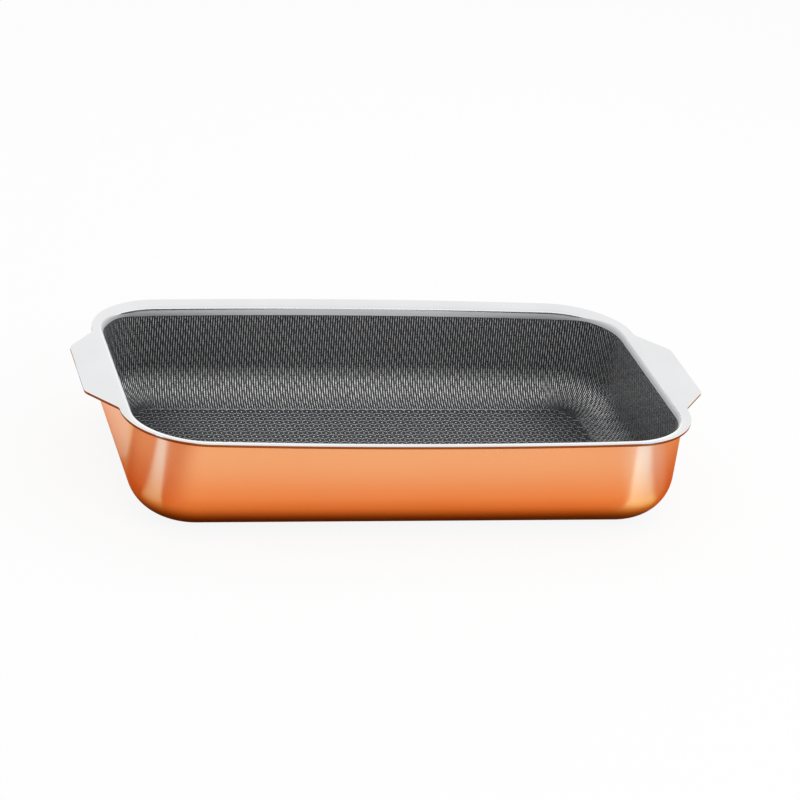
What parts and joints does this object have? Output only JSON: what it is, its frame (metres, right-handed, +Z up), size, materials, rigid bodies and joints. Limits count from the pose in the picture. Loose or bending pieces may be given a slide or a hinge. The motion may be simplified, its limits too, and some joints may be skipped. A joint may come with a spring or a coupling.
{
  "type": "roasting pan",
  "caption": "Oblong copper-clad roasting pan with a polished steel rim, flat end lugs and a dark nonstick well with a fine raised honeycomb pattern, for roasting in an oven.",
  "frame": {"origin": "on the table, under the middle of the pan's floor", "axes": "+X along the pan from lug to lug, +Y across it, +Z up out of the well"},
  "size_m": [0.4, 0.231, 0.068],
  "materials": {
    "copper": "polished copper, with a soft sheen",
    "core_aluminium": "mill finish, hidden between the other plies",
    "polished_steel": "polished stainless steel",
    "nonstick": "satin charcoal nonstick coating"
  },
  "bodies": {
    "root": {"copper_outer_ply": "copper", "aluminium_core": "core_aluminium", "steel_inner_ply": "polished_steel", "nonstick_coating": "nonstick"}
  },
  "joints": []
}
